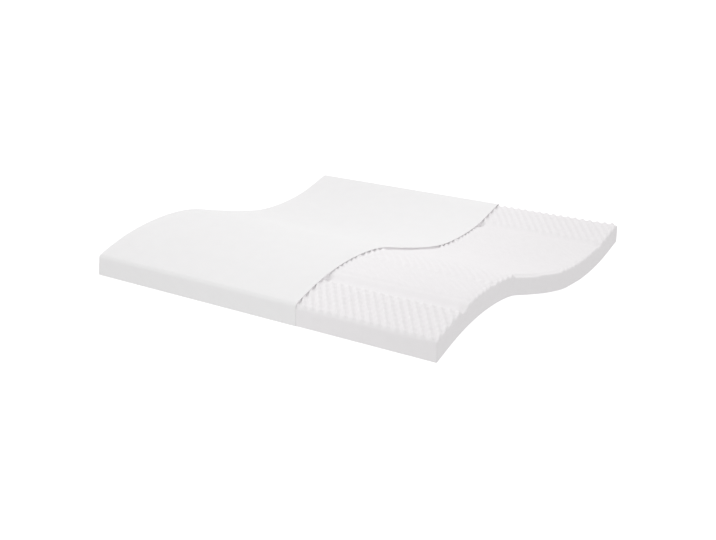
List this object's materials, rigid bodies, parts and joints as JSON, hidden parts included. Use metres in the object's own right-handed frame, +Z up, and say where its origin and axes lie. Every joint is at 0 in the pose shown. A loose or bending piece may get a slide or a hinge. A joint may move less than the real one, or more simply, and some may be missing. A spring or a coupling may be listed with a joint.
{
  "type": "foam mattress",
  "caption": "Foam mattress lying in a long wave, its thin knitted cover cut back over part of the width to show a foam core with raised nubs in zones across it.",
  "frame": {"origin": "middle of the footprint, at the level of the surface that the mattress lies on", "axes": "+Z up; +X across the width, from the covered side to the bare foam side; +Y along the length, from the front end to the raised back end"},
  "size_m": [2, 1.96, 0.2271],
  "materials": {
    "foam": "open-cell polyurethane foam, matt, very slightly warm white",
    "knit_cover": "fine white knit, matt"
  },
  "bodies": {
    "root": {"foam_core": "foam", "cover": "knit_cover"}
  },
  "joints": []
}
